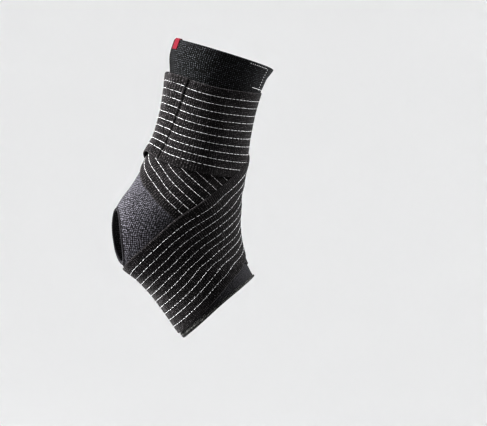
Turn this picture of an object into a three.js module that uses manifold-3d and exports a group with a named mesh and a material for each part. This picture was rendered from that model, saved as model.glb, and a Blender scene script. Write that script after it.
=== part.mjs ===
// A slip-on ankle brace for a right foot: a hollow knitted sleeve with an open heel, and two
// striped elastic straps wound round it in a figure of eight.
// Millimetres, +Z up the lower leg, +X to the toes, -Y the outer side, origin at the ankle joint.
import * as THREE from "three";
import { mergeVertices } from "three/addons/utils/BufferGeometryUtils.js";
import Module from "manifold-3d";

const wasm = await Module();
wasm.setup();

// Driving sizes of the form that the sleeve is knitted to.
const LEG_HEIGHT = 127; // ankle joint up to the cuff's top edge at the back
const FOOT_DROP = 122; // ankle joint down to the lowest point of the foot opening
const LEG_DEPTH = 76; // front to back across the narrow of the leg
const LEG_WIDTH = 62; // side to side across the narrow of the leg

// Cloth thicknesses and the gap that neighbouring pieces keep.
const SLEEVE_WALL = 1.6;
const CUFF_WALL = 1.9;
const HEM_WALL = 2.7;
const STRAP_THICKNESS = 1.2;
const LAYER_GAP = 0.5;
const SEAM_GAP = 0.4;

// Straps.
const STRAP_WIDTH = 75;
const EDGE_PLATEAU = 5.5; // how far past a covered edge a strap stays lifted
const EDGE_SLOPE = 20; // how long it then takes to come down
const EVEN_PASSES = 4; // how often a strap's rows are evened out along it
const OWN_TURN = 150; // shortest stretch after which a strap can lie on itself

// Hook tabs that hold the free ends down.
const TAB_THICKNESS = 0.8;
const TAB_LENGTH = 26;
const TAB_INSET = 12; // from the strap's end and sides
const TAB_SLOPE = 14;

// Overlocked edge of the heel opening.
const BINDING_WIDTH = 3.2;
const BINDING_THICKNESS = 2.6;
const PLUG_REACH = 9; // how far the cut for the opening runs past the wall, each way

// Lip that stands out at the front of the cuff's top edge.
const LIP_REACH = 2.4;
const LIP_DEPTH = 12;
const LIP_HALF_ANGLE = 34;
const LIP_ANGLE = 172;
const THICK_SHARE = 0.6; // the cuff's knit is thickened over this share of its depth

// Woven tag folded over the cuff's top edge.
const TAG_WIDTH = 10;
const TAG_DROP = 9;
const TAG_THICKNESS = 0.6;
const TAG_ANGLE = 9;

// Where one zone of the knit ends and the next begins, as stations of the form.
const CUFF_END = 3;
const HEM_START = 18.62;

// Fineness of the faceted surfaces.
const SLEEVE_STEPS = 27;
const CUFF_STEPS = 4;
const HEM_STEPS = 1;
const ROUND_STEPS = 36;
const STRAP_STEP = 6.4; // millimetres of strap between two rows of points
const STRAP_CELLS = 11; // cells across a strap
const BINDING_STEPS = 32;
const BINDING_SIDES = 6;
const TAG_STEPS = 3;
const WALK_STEP = 3; // millimetres between the steps of a walk over the form
const ROUTE_PARTS = 16; // parts that each stretch of a route's table is measured in

// The form's stations from the top edge, round the heel and instep, to the foot opening. Each is a
// section through a back (or sole) point and a front (or instep) point. x is a share of LEG_DEPTH,
// z of LEG_HEIGHT above the ankle and of FOOT_DROP below it, and half of LEG_WIDTH.
const STATIONS = [
  { backX: -0.534, backZ: 1.0, frontX: 0.553, frontZ: 0.95, half: 0.62 },
  { backX: -0.55, backZ: 0.89, frontX: 0.518, frontZ: 0.85, half: 0.6 },
  { backX: -0.508, backZ: 0.78, frontX: 0.487, frontZ: 0.752, half: 0.571 },
  { backX: -0.483, backZ: 0.661, frontX: 0.474, frontZ: 0.65, half: 0.539 },
  { backX: -0.47, backZ: 0.543, frontX: 0.474, frontZ: 0.539, half: 0.513 },
  { backX: -0.464, backZ: 0.425, frontX: 0.479, frontZ: 0.421, half: 0.497 },
  { backX: -0.482, backZ: 0.307, frontX: 0.479, frontZ: 0.303, half: 0.497 },
  { backX: -0.542, backZ: 0.197, frontX: 0.474, frontZ: 0.189, half: 0.516 },
  { backX: -0.596, backZ: 0.087, frontX: 0.495, frontZ: 0.083, half: 0.542 },
  { backX: -0.663, backZ: -0.033, frontX: 0.53, frontZ: -0.02, half: 0.558 },
  { backX: -0.74, backZ: -0.139, frontX: 0.557, frontZ: -0.111, half: 0.558 },
  { backX: -0.797, backZ: -0.254, frontX: 0.592, frontZ: -0.184, half: 0.545 },
  { backX: -0.816, backZ: -0.377, frontX: 0.632, frontZ: -0.246, half: 0.532 },
  { backX: -0.743, backZ: -0.492, frontX: 0.671, frontZ: -0.295, half: 0.532 },
  { backX: -0.579, backZ: -0.574, frontX: 0.714, frontZ: -0.34, half: 0.54 },
  { backX: -0.382, backZ: -0.631, frontX: 0.757, frontZ: -0.377, half: 0.565 },
  { backX: -0.178, backZ: -0.713, frontX: 0.796, frontZ: -0.408, half: 0.597 },
  { backX: -0.007, backZ: -0.807, frontX: 0.842, frontZ: -0.438, half: 0.621 },
  { backX: 0.151, backZ: -0.902, frontX: 0.888, frontZ: -0.469, half: 0.637 },
  { backX: 0.303, backZ: -0.997, frontX: 0.941, frontZ: -0.5, half: 0.645 },
];
// The outline of each station. The blunts are the exponents of its back and of its front; lean is
// how far the front leans to the inner side and skew how far the outer side is drawn back towards
// the leg, both as shares of LEG_WIDTH.
const OUTLINES = [
  { backBlunt: 2.1, frontBlunt: 2.1, lean: 0, skew: 0 },
  { backBlunt: 2.1, frontBlunt: 2.1, lean: 0, skew: 0 },
  { backBlunt: 2.1, frontBlunt: 2.1, lean: 0, skew: 0 },
  { backBlunt: 2.1, frontBlunt: 2.1, lean: 0, skew: 0 },
  { backBlunt: 2.1, frontBlunt: 2.1, lean: 0, skew: 0 },
  { backBlunt: 2.1, frontBlunt: 2.2, lean: 0, skew: 0 },
  { backBlunt: 2.1, frontBlunt: 2.2, lean: 0, skew: 0 },
  { backBlunt: 2.1, frontBlunt: 2.2, lean: 0, skew: 0 },
  { backBlunt: 2.1, frontBlunt: 2.2, lean: 0, skew: 0 },
  { backBlunt: 2.2, frontBlunt: 2.2, lean: 0, skew: 0 },
  { backBlunt: 2.3, frontBlunt: 2.2, lean: 0.02, skew: 0 },
  { backBlunt: 2.4, frontBlunt: 2.2, lean: 0.03, skew: 0 },
  { backBlunt: 2.4, frontBlunt: 2.2, lean: 0.05, skew: 0 },
  { backBlunt: 2.4, frontBlunt: 2.2, lean: 0.065, skew: 0 },
  { backBlunt: 2.4, frontBlunt: 2.2, lean: 0.08, skew: 0 },
  { backBlunt: 2.4, frontBlunt: 2.2, lean: 0.1, skew: 0.03 },
  { backBlunt: 2.4, frontBlunt: 2.2, lean: 0.11, skew: 0.07 },
  { backBlunt: 2.4, frontBlunt: 2.2, lean: 0.13, skew: 0.11 },
  { backBlunt: 2.4, frontBlunt: 2.2, lean: 0.13, skew: 0.145 },
  { backBlunt: 2.4, frontBlunt: 2.2, lean: 0.13, skew: 0.18 },
];
const LAST_STATION = STATIONS.length - 1;

// Rises and hollows of the form: where each lies, how far it spreads and how high it stands, the
// last as a share of LEG_WIDTH. Angles run from the back over the outer side (90) to the front (180).
const SWELLS = [
  { name: "outer ankle bone", station: 9.1, angle: 96, stations: 1.5, degrees: 20, rise: 0.045 },
  { name: "inner ankle bone", station: 8.3, angle: -100, stations: 1.5, degrees: 20, rise: 0.045 },
  { name: "behind the outer bone", station: 8.2, angle: 45, stations: 2.2, degrees: 17, rise: -0.045 },
  { name: "behind the inner bone", station: 8.0, angle: -45, stations: 2.2, degrees: 17, rise: -0.04 },
];

// Centre lines of the straps, from the sole to the free end. The outer strap climbs the outer side
// first; the inner strap the inner side, then it goes once round the leg as the upper band.
const OUTER_ROUTE = [
  { station: 16.35, angle: -4 },
  { station: 16.2, angle: 22 },
  { station: 15.7, angle: 50 },
  { station: 14.7, angle: 78 },
  { station: 12.9, angle: 106 },
  { station: 10.9, angle: 133 },
  { station: 9.2, angle: 164 },
  { station: 8.1, angle: 197 },
  { station: 7.1, angle: 233 },
  { station: 6.1, angle: 270 },
  { station: 5.2, angle: 308 },
  { station: 4.5, angle: 343 },
  { station: 4.4, angle: 370 },
  { station: 4.55, angle: 396 },
];
const INNER_ROUTE = [
  { station: 16.35, angle: 4 },
  { station: 16.2, angle: -22 },
  { station: 15.75, angle: -50 },
  { station: 14.75, angle: -79 },
  { station: 13.1, angle: -110 },
  { station: 11.5, angle: -146 },
  { station: 10.5, angle: -180 },
  { station: 9.7, angle: -208 },
  { station: 8.75, angle: -238 },
  { station: 7.85, angle: -267 },
  { station: 7.05, angle: -293 },
  { station: 6.15, angle: -321 },
  { station: 5.2, angle: -350 },
  { station: 4.7, angle: -378 },
  { station: 4.5, angle: -410 },
  { station: 4.4, angle: -450 },
  { station: 4.4, angle: -500 },
  { station: 4.45, angle: -545 },
  { station: 4.6, angle: -590 },
  { station: 4.75, angle: -635 },
  { station: 4.7, angle: -668 },
  { station: 4.55, angle: -692 },
];

// One side of the heel opening's edge, from its top to its bottom; the other side mirrors it.
const HEEL_EDGE = [
  { station: 10.62, angle: 0 },
  { station: 10.75, angle: 13 },
  { station: 11.1, angle: 23 },
  { station: 11.65, angle: 31 },
  { station: 12.3, angle: 34.5 },
  { station: 12.95, angle: 33 },
  { station: 13.5, angle: 25 },
  { station: 13.82, angle: 12 },
  { station: 13.9, angle: 0 },
];
const HEEL_CENTRE = { station: 12.25, angle: 0 };

const DEGREE = Math.PI / 180;
const TINY_STATION = 0.01;
const TINY_ANGLE = 0.3;
const TINY_TURN = 0.1; // share of a stretch of the heel opening's table
const WELD = 1e-4;

// Smooth curve through numbers at whole steps, carried on straight past both ends.
function along(values, place) {
  const last = values.length - 1;
  if (place <= 0) return values[0] + place * (values[1] - values[0]);
  if (place >= last) return values[last] + (place - last) * (values[last] - values[last - 1]);
  const i = Math.floor(place);
  const f = place - i;
  const b = values[i];
  const c = values[i + 1];
  const a = i > 0 ? values[i - 1] : 2 * b - c;
  const d = i + 2 <= last ? values[i + 2] : 2 * c - b;
  const bend = 2 * a - 5 * b + 4 * c - d;
  const twist = 3 * b - a - 3 * c + d;
  return 0.5 * (2 * b + (c - a) * f + bend * f * f + twist * f * f * f);
}

const heightOf = (share) => share * (share > 0 ? LEG_HEIGHT : FOOT_DROP);
const COLUMN = {
  backX: STATIONS.map((s) => s.backX * LEG_DEPTH),
  backZ: STATIONS.map((s) => heightOf(s.backZ)),
  frontX: STATIONS.map((s) => s.frontX * LEG_DEPTH),
  frontZ: STATIONS.map((s) => heightOf(s.frontZ)),
  half: STATIONS.map((s) => s.half * LEG_WIDTH),
  backBlunt: OUTLINES.map((o) => o.backBlunt),
  frontBlunt: OUTLINES.map((o) => o.frontBlunt),
  lean: OUTLINES.map((o) => o.lean * LEG_WIDTH),
  skew: OUTLINES.map((o) => o.skew * LEG_WIDTH),
};

// Angle difference brought into -180 to 180 degrees.
const turnBetween = (a, b) => ((((a - b) % 360) + 540) % 360) - 180;

// Sum of the rises and hollows at a place on the form.
function swellAt(station, angle) {
  let sum = 0;
  for (const s of SWELLS) {
    const du = (station - s.station) / s.stations;
    const dv = turnBetween(angle, s.angle) / s.degrees;
    sum += s.rise * LEG_WIDTH * Math.exp(-(du * du + dv * dv));
  }
  return sum;
}

// Point on the form, which is the inner face of the sleeve.
function formPoint(station, angle) {
  const at = (name) => along(COLUMN[name], station);
  const c = Math.cos(angle * DEGREE);
  const s = Math.sin(angle * DEGREE);
  const halfX = (at("frontX") - at("backX")) / 2;
  const halfZ = (at("frontZ") - at("backZ")) / 2;
  const depth = Math.hypot(halfX, halfZ);
  const towardsBack = 0.5 + 0.5 * c;
  const blunt = at("frontBlunt") + (at("backBlunt") - at("frontBlunt")) * towardsBack;
  const bulge = (Math.abs(c) ** blunt + Math.abs(s) ** blunt) ** (-1 / blunt);
  const half = at("half");
  const rise = swellAt(station, angle);
  const drawnBack = at("skew") * s;
  const out = bulge + rise / Math.hypot(depth * c, half * s);
  return new THREE.Vector3(
    (at("frontX") + at("backX")) / 2 - halfX * c * out - (halfZ / depth) * drawnBack,
    -half * s * out + at("lean") * (1 - towardsBack),
    (at("frontZ") + at("backZ")) / 2 - halfZ * c * out + (halfX / depth) * drawnBack,
  );
}

// The two directions along the form at a place, per station and per degree, and its normal.
function frameAt(station, angle) {
  const down = formPoint(station + TINY_STATION, angle)
    .sub(formPoint(station - TINY_STATION, angle))
    .divideScalar(2 * TINY_STATION);
  const round = formPoint(station, angle + TINY_ANGLE)
    .sub(formPoint(station, angle - TINY_ANGLE))
    .divideScalar(2 * TINY_ANGLE);
  const normal = down.clone().cross(round).normalize();
  return { down, round, normal };
}

// Point at a height above the form.
function raised(station, angle, height) {
  return formPoint(station, angle).addScaledVector(frameAt(station, angle).normal, height);
}

// Walks straight over the form from a place, in a direction, for a distance.
function walk(place, direction, distance) {
  const count = Math.max(1, Math.round(Math.abs(distance) / WALK_STEP));
  const heading = direction.clone().multiplyScalar(Math.sign(distance));
  let { station, angle } = place;
  for (let i = 0; i < count; i++) {
    const { down, round, normal } = frameAt(station, angle);
    heading.addScaledVector(normal, -heading.dot(normal)).normalize();
    const dd = down.dot(down);
    const dr = down.dot(round);
    const rr = round.dot(round);
    const hd = heading.dot(down);
    const hr = heading.dot(round);
    const step = Math.abs(distance) / count / (dd * rr - dr * dr);
    station += (hd * rr - hr * dr) * step;
    angle += (hr * dd - hd * dr) * step;
  }
  return { station, angle };
}

// Places at even steps along a route given by a short table.
function evenPlaces(route, step) {
  const stations = route.map((p) => p.station);
  const angles = route.map((p) => p.angle);
  const fine = [];
  for (let i = 0; i <= (route.length - 1) * ROUTE_PARTS; i++) {
    const t = i / ROUTE_PARTS;
    const place = { station: along(stations, t), angle: along(angles, t) };
    place.point = formPoint(place.station, place.angle);
    const before = fine[fine.length - 1];
    place.arc = before ? before.arc + place.point.distanceTo(before.point) : 0;
    fine.push(place);
  }
  const length = fine[fine.length - 1].arc;
  const count = Math.round(length / step);
  const places = [];
  let k = 0;
  for (let i = 0; i <= count; i++) {
    const arc = (length * i) / count;
    while (k < fine.length - 2 && fine[k + 1].arc < arc) k++;
    const f = (arc - fine[k].arc) / (fine[k + 1].arc - fine[k].arc);
    const station = fine[k].station + (fine[k + 1].station - fine[k].station) * f;
    const angle = fine[k].angle + (fine[k + 1].angle - fine[k].angle) * f;
    places.push({ station, angle, arc, point: formPoint(station, angle) });
  }
  return places;
}

// Direction along a row of places at one of them.
function headingAt(places, i) {
  const a = places[Math.max(i - 1, 0)].point;
  const b = places[Math.min(i + 1, places.length - 1)].point;
  return b.clone().sub(a).normalize();
}

const smooth = (t) => {
  const x = Math.min(Math.max(t, 0), 1);
  return x * x * (3 - 2 * x);
};

// Places across a strap at each of its rows: straight aside from the centre line over the form, and
// then evened out along the strap, as elastic evens out under tension.
function gridAcross(places) {
  const last = places.length - 1;
  let grid = places.map((place, i) => {
    const { normal } = frameAt(place.station, place.angle);
    const aside = normal.clone().cross(headingAt(places, i)).normalize();
    const row = [];
    for (let j = 0; j <= STRAP_CELLS; j++) {
      row.push(walk(place, aside, STRAP_WIDTH * (j / STRAP_CELLS - 0.5)));
    }
    return row;
  });
  const evened = (a, b, c) => ({
    station: (a.station + 2 * b.station + c.station) / 4,
    angle: (a.angle + 2 * b.angle + c.angle) / 4,
  });
  for (let pass = 0; pass < EVEN_PASSES; pass++) {
    const rows = grid;
    grid = rows.map((row, i) => {
      if (i === 0 || i === last) return row;
      return row.map((at, j) => evened(rows[i - 1][j], at, rows[i + 1][j]));
    });
  }
  return grid;
}

// A strap: its centre line, the straps that lie under it and the rows that its hook tab takes.
function makeStrap(route, laidOver) {
  const places = evenPlaces(route, STRAP_STEP);
  const tabEnd = places.length - Math.max(1, Math.round(TAB_INSET / STRAP_STEP));
  const tabStart = tabEnd - 1 - Math.round(TAB_LENGTH / STRAP_STEP);
  return { places, laidOver, grid: gridAcross(places), tabStart, tabEnd };
}

// Extra height near the free end, where the hook tab lies under the strap.
function tabLift(strap, arc) {
  const { places, tabStart, tabEnd } = strap;
  const slopeStart = places[tabStart].arc - TAB_SLOPE;
  const tail = places[places.length - 1].arc;
  const down = (tail - arc) / (tail - places[tabEnd - 1].arc);
  return (TAB_THICKNESS + LAYER_GAP) * smooth((arc - slopeStart) / TAB_SLOPE) * smooth(down);
}

// How much one strap raises what is laid over it at a point, looking only at its first stretch.
function liftFrom(strap, point, stretch) {
  let lift = 0;
  const { places } = strap;
  const chunk = Math.ceil(OWN_TURN / STRAP_STEP);
  for (let first = 0; first < places.length; first += chunk) {
    let nearest = -1;
    let best = Infinity;
    for (let i = first; i < Math.min(first + chunk + 1, places.length); i++) {
      if (places[i].arc > stretch) break;
      const d = places[i].point.distanceTo(point);
      if (d < best) {
        best = d;
        nearest = i;
      }
    }
    if (nearest < 0 || best > STRAP_WIDTH) continue;
    const offset = point.clone().sub(places[nearest].point);
    const beyond = Math.abs(offset.dot(headingAt(places, nearest)));
    const aside = Math.sqrt(Math.max(best * best - beyond * beyond, 0));
    const past = Math.max(aside - STRAP_WIDTH / 2, beyond - STRAP_STEP / 2);
    const cover = 1 - smooth((past - EDGE_PLATEAU) / EDGE_SLOPE);
    if (cover <= 0) continue;
    const top = strapBase(strap, point, places[nearest].arc) + STRAP_THICKNESS - SLEEVE_WALL;
    lift = Math.max(lift, cover * top);
  }
  return lift;
}

// Height of a strap's inner face over the form.
function strapBase(strap, point, arc) {
  let lift = liftFrom(strap, point, arc - OWN_TURN);
  for (const under of strap.laidOver) lift = Math.max(lift, liftFrom(under, point, Infinity));
  return SLEEVE_WALL + LAYER_GAP + lift + tabLift(strap, arc);
}

// Geometry from a list of points and a list of triangles.
function geometryFrom(points, triangles) {
  const geometry = new THREE.BufferGeometry();
  const values = new Float32Array(points.flatMap((p) => [p.x, p.y, p.z]));
  geometry.setAttribute("position", new THREE.BufferAttribute(values, 3));
  geometry.setIndex(triangles);
  geometry.computeVertexNormals();
  return geometry;
}

// Closed solid between an outer and an inner grid of points, whose columns may join up into a
// tube. Each cell is split along its ridge, or along its valley, so that a strap never sinks into
// the sleeve between its points and the sleeve never stands up into a strap.
function slab(outer, inner, { tube = false, ridged = false } = {}) {
  const rows = outer.length;
  const columns = outer[0].length;
  const points = [...outer.flat(), ...inner.flat()];
  const under = rows * columns;
  const triangles = [];
  const quad = (a, b, c, d) => triangles.push(a, b, c, a, c, d);
  const id = (i, j) => i * columns + (j % columns);
  const lastRow = rows - 1;
  const lastColumn = tube ? columns : columns - 1;
  const cell = (a, b, c, d) => {
    const out = points[a % under].clone().sub(points[(a % under) + under]);
    const middle = (p, q) => points[p].clone().add(points[q]).divideScalar(2);
    const higher = middle(a, c).sub(middle(b, d)).dot(out) > 0;
    if (higher === ridged) quad(a, b, c, d);
    else quad(b, c, d, a);
  };
  for (let i = 0; i < lastRow; i++) {
    for (let j = 0; j < lastColumn; j++) {
      const [a, b, c, d] = [id(i, j), id(i + 1, j), id(i + 1, j + 1), id(i, j + 1)];
      cell(a, b, c, d);
      cell(a + under, d + under, c + under, b + under);
    }
  }
  for (let j = 0; j < lastColumn; j++) {
    quad(id(0, j), id(0, j + 1), id(0, j + 1) + under, id(0, j) + under);
    const [a, b] = [id(rows - 1, j), id(rows - 1, j + 1)];
    quad(b, a, a + under, b + under);
  }
  if (!tube) {
    for (let i = 0; i < lastRow; i++) {
      quad(id(i + 1, 0), id(i, 0), id(i, 0) + under, id(i + 1, 0) + under);
      const [a, b] = [id(i, columns - 1), id(i + 1, columns - 1)];
      quad(a, b, b + under, a + under);
    }
  }
  return geometryFrom(points, triangles);
}

// Tube of cloth between two stations; wall gives its thickness at a place.
function tubeWall(from, to, steps, wall) {
  const outer = [];
  const inner = [];
  for (let i = 0; i <= steps; i++) {
    const station = from + ((to - from) * i) / steps;
    const outerRow = [];
    const innerRow = [];
    for (let j = 0; j < ROUND_STEPS; j++) {
      const angle = (j * 360) / ROUND_STEPS;
      const { foot, top } = wall(station, angle);
      outerRow.push(raised(station, angle, top));
      innerRow.push(raised(station, angle, foot));
    }
    outer.push(outerRow);
    inner.push(innerRow);
  }
  return slab(outer, inner, { tube: true });
}

// Strip of cloth over some of a strap's rows and columns; foot gives its inner face's height.
function strip(strap, rows, columns, foot, thickness) {
  const outer = [];
  const inner = [];
  for (let i = rows.from; i < rows.to; i++) {
    const outerRow = [];
    const innerRow = [];
    for (let j = columns.from; j < columns.to; j++) {
      const { station, angle } = strap.grid[i][j];
      const height = foot(formPoint(station, angle), strap.places[i].arc);
      outerRow.push(raised(station, angle, height + thickness));
      innerRow.push(raised(station, angle, height));
    }
    outer.push(outerRow);
    inner.push(innerRow);
  }
  return slab(outer, inner, { ridged: true });
}

function strapGeometry(strap) {
  const rows = { from: 0, to: strap.places.length };
  const columns = { from: 0, to: STRAP_CELLS + 1 };
  const foot = (point, arc) => strapBase(strap, point, arc);
  return strip(strap, rows, columns, foot, STRAP_THICKNESS);
}

// Hook tab in the space that the strap leaves under its free end, cell for cell under the strap.
function tabGeometry(strap) {
  const sideCells = Math.max(1, Math.round(TAB_INSET / (STRAP_WIDTH / STRAP_CELLS)));
  const rows = { from: strap.tabStart, to: strap.tabEnd };
  const columns = { from: sideCells, to: STRAP_CELLS + 1 - sideCells };
  const foot = (point, arc) => strapBase(strap, point, arc) - tabLift(strap, arc);
  return strip(strap, rows, columns, foot, TAB_THICKNESS);
}

// Places round the heel opening, moved outwards from its edge line by a distance.
function heelRing(count, outwards) {
  const back = HEEL_EDGE.slice(1, -1).reverse();
  const loop = [...HEEL_EDGE, ...back.map((p) => ({ station: p.station, angle: -p.angle }))];
  const closed = [...loop.slice(-2), ...loop, ...loop.slice(0, 3)];
  const stations = closed.map((p) => p.station);
  const angles = closed.map((p) => p.angle);
  const places = [];
  for (let i = 0; i < count; i++) {
    const t = 2 + (i * loop.length) / count;
    const at = { station: along(stations, t), angle: along(angles, t) };
    const ahead = formPoint(along(stations, t + TINY_TURN), along(angles, t + TINY_TURN));
    const behind = formPoint(along(stations, t - TINY_TURN), along(angles, t - TINY_TURN));
    const heading = ahead.sub(behind).normalize();
    const side = frameAt(at.station, at.angle).normal.clone().cross(heading).normalize();
    const place = outwards ? walk(at, side, outwards) : at;
    places.push({ ...place, side });
  }
  return places;
}

// Plug that cuts the heel opening through the sleeve's wall.
function heelPlug() {
  const ring = heelRing(BINDING_STEPS, BINDING_WIDTH / 2 + SEAM_GAP);
  const count = ring.length;
  const points = [
    ...ring.map((p) => raised(p.station, p.angle, PLUG_REACH)),
    ...ring.map((p) => raised(p.station, p.angle, -PLUG_REACH)),
    raised(HEEL_CENTRE.station, HEEL_CENTRE.angle, PLUG_REACH),
    raised(HEEL_CENTRE.station, HEEL_CENTRE.angle, -PLUG_REACH),
  ];
  const triangles = [];
  for (let i = 0; i < count; i++) {
    const k = (i + 1) % count;
    triangles.push(k, i, 2 * count);
    triangles.push(count + i, count + k, 2 * count + 1);
    triangles.push(i, k, count + i, count + i, k, count + k);
  }
  return geometryFrom(points, triangles);
}

// A closed mesh as a solid that can be cut, and a solid back as a mesh.
function toSolid(geometry) {
  const bare = geometry.clone();
  bare.deleteAttribute("normal");
  const merged = mergeVertices(bare, WELD);
  return new wasm.Manifold(
    new wasm.Mesh({
      numProp: 3,
      vertProperties: new Float32Array(merged.attributes.position.array),
      triVerts: new Uint32Array(merged.index.array),
    }),
  );
}

function toGeometry(solid) {
  const mesh = solid.getMesh();
  const geometry = new THREE.BufferGeometry();
  geometry.setAttribute("position", new THREE.BufferAttribute(mesh.vertProperties, 3));
  geometry.setIndex(new THREE.BufferAttribute(mesh.triVerts, 1));
  geometry.computeVertexNormals();
  return geometry;
}

function sleeveGeometry() {
  const wall = () => ({ foot: 0, top: SLEEVE_WALL });
  const tube = tubeWall(CUFF_END, HEM_START, SLEEVE_STEPS, wall);
  return toGeometry(toSolid(tube).subtract(toSolid(heelPlug())));
}

// How far the cuff stands out at a place on its front lip.
function lipAt(station, angle) {
  const fromTop = formPoint(0, angle).distanceTo(formPoint(station, angle));
  const aside = Math.abs(turnBetween(angle, LIP_ANGLE)) / LIP_HALF_ANGLE;
  return LIP_REACH * smooth(1 - fromTop / LIP_DEPTH) * smooth(1 - aside);
}

// A gap along the leg, in stations, at the joint between two zones of knit.
function stationsFor(station, distance) {
  return distance / frameAt(station, 90).down.length();
}

function cuffGeometry() {
  const end = CUFF_END - stationsFor(CUFF_END, SEAM_GAP);
  return tubeWall(0, end, CUFF_STEPS, (station, angle) => {
    const lip = lipAt(station, angle);
    const extra = (CUFF_WALL - SLEEVE_WALL) * smooth(1 - station / (THICK_SHARE * CUFF_END));
    return { foot: lip, top: SLEEVE_WALL + extra + lip };
  });
}

function hemGeometry() {
  const start = HEM_START + stationsFor(HEM_START, SEAM_GAP);
  return tubeWall(start, LAST_STATION, HEM_STEPS, () => ({ foot: 0, top: HEM_WALL }));
}

// Ring of oval section round the heel opening.
function bindingGeometry() {
  const ring = heelRing(BINDING_STEPS, 0);
  const points = [];
  for (const place of ring) {
    const { normal } = frameAt(place.station, place.angle);
    const middle = raised(place.station, place.angle, SLEEVE_WALL / 2);
    for (let k = 0; k < BINDING_SIDES; k++) {
      const turn = (k * 2 * Math.PI) / BINDING_SIDES;
      points.push(
        middle
          .clone()
          .addScaledVector(place.side, (BINDING_WIDTH / 2) * Math.cos(turn))
          .addScaledVector(normal, (BINDING_THICKNESS / 2) * Math.sin(turn)),
      );
    }
  }
  const triangles = [];
  const id = (i, k) => (i % ring.length) * BINDING_SIDES + (k % BINDING_SIDES);
  for (let i = 0; i < ring.length; i++) {
    for (let k = 0; k < BINDING_SIDES; k++) {
      triangles.push(id(i + 1, k), id(i, k), id(i + 1, k + 1));
      triangles.push(id(i + 1, k + 1), id(i, k), id(i, k + 1));
    }
  }
  return geometryFrom(points, triangles);
}

// Tag folded over the cuff's top edge: rows run across it, columns from the inner to the outer end.
function tagGeometry() {
  const radius = formPoint(0, TAG_ANGLE).distanceTo(formPoint(0, TAG_ANGLE + 180)) / 2;
  const spread = TAG_WIDTH / radius / DEGREE;
  const near = LAYER_GAP;
  const far = near + TAG_THICKNESS;
  const drop = stationsFor(0, TAG_DROP);
  const outer = [];
  const inner = [];
  for (let i = 0; i <= TAG_STEPS; i++) {
    const angle = TAG_ANGLE + spread * (i / TAG_STEPS - 0.5);
    const at = (station, height) => raised(station, angle, height);
    const over = stationsFor(0, near);
    const overFar = stationsFor(0, far);
    const row = (past, side) => [
      at(drop, CUFF_WALL + side),
      at(-past, CUFF_WALL + side),
      at(-past, -side),
      at(drop, -side),
    ];
    inner.push(row(over, near));
    outer.push(row(overFar, far));
  }
  return slab(outer, inner);
}

const innerStrap = makeStrap(INNER_ROUTE, []);
const outerStrap = makeStrap(OUTER_ROUTE, [innerStrap]);

const FINISH = {
  meshKnit: { color: 0x3a3a40, roughness: 0.92, metalness: 0 },
  ribKnit: { color: 0x2a2a2d, roughness: 0.9, metalness: 0 },
  elastic: { color: 0x1d1b1d, roughness: 0.85, metalness: 0 },
  overlock: { color: 0x232325, roughness: 0.9, metalness: 0 },
  hookTape: { color: 0x151515, roughness: 0.6, metalness: 0 },
  redTape: { color: 0xc4172c, roughness: 0.7, metalness: 0 },
};

const brace = new THREE.Group();

function addPiece(name, geometry, finish) {
  const mesh = new THREE.Mesh(geometry, new THREE.MeshStandardMaterial(finish));
  mesh.name = name;
  brace.add(mesh);
}

addPiece("knit_sleeve", sleeveGeometry(), FINISH.meshKnit);
addPiece("top_cuff", cuffGeometry(), FINISH.ribKnit);
addPiece("foot_hem", hemGeometry(), FINISH.ribKnit);
addPiece("heel_binding", bindingGeometry(), FINISH.overlock);
addPiece("inner_strap", strapGeometry(innerStrap), FINISH.elastic);
addPiece("inner_hook_tab", tabGeometry(innerStrap), FINISH.hookTape);
addPiece("outer_strap", strapGeometry(outerStrap), FINISH.elastic);
addPiece("outer_hook_tab", tabGeometry(outerStrap), FINISH.hookTape);
addPiece("red_tag", tagGeometry(), FINISH.redTape);

export default brace;
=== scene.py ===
"""A slip-on ankle brace for a right foot, dressed over its plain solids.

A hollow knitted sleeve with an open heel carries two striped elastic straps, wound round it in a
figure of eight. Sizes are millimetres until a mesh is made, and metres from there on. +Z goes up the
leg, +X to the toes, -Y to the outer side, and the origin is the ankle joint.
"""

import logging
import math
from dataclasses import dataclass, field
from enum import Enum
from typing import Any, ClassVar, Sequence

import bpy
import numpy as np
from mathutils import Matrix, Vector


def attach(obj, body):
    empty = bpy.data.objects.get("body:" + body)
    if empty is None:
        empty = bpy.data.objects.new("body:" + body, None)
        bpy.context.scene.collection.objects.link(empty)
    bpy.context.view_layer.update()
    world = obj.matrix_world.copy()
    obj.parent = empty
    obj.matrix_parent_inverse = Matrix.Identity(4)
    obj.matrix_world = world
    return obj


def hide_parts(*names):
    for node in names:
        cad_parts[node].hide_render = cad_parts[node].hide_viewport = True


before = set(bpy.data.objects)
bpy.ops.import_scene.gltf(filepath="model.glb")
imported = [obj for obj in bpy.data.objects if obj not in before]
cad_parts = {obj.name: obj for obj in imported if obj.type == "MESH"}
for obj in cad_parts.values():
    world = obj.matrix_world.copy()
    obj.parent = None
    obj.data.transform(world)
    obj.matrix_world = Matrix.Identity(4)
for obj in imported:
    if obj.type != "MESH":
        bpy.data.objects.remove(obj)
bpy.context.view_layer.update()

log = logging.getLogger("ankle_brace")
Array = np.ndarray
Object = bpy.types.Object
Tree = bpy.types.NodeTree
Socket = bpy.types.NodeSocket
Pair = tuple[float, float]
Triple = tuple[float, float, float]

MM = 0.001
BODY = "root"

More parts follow.
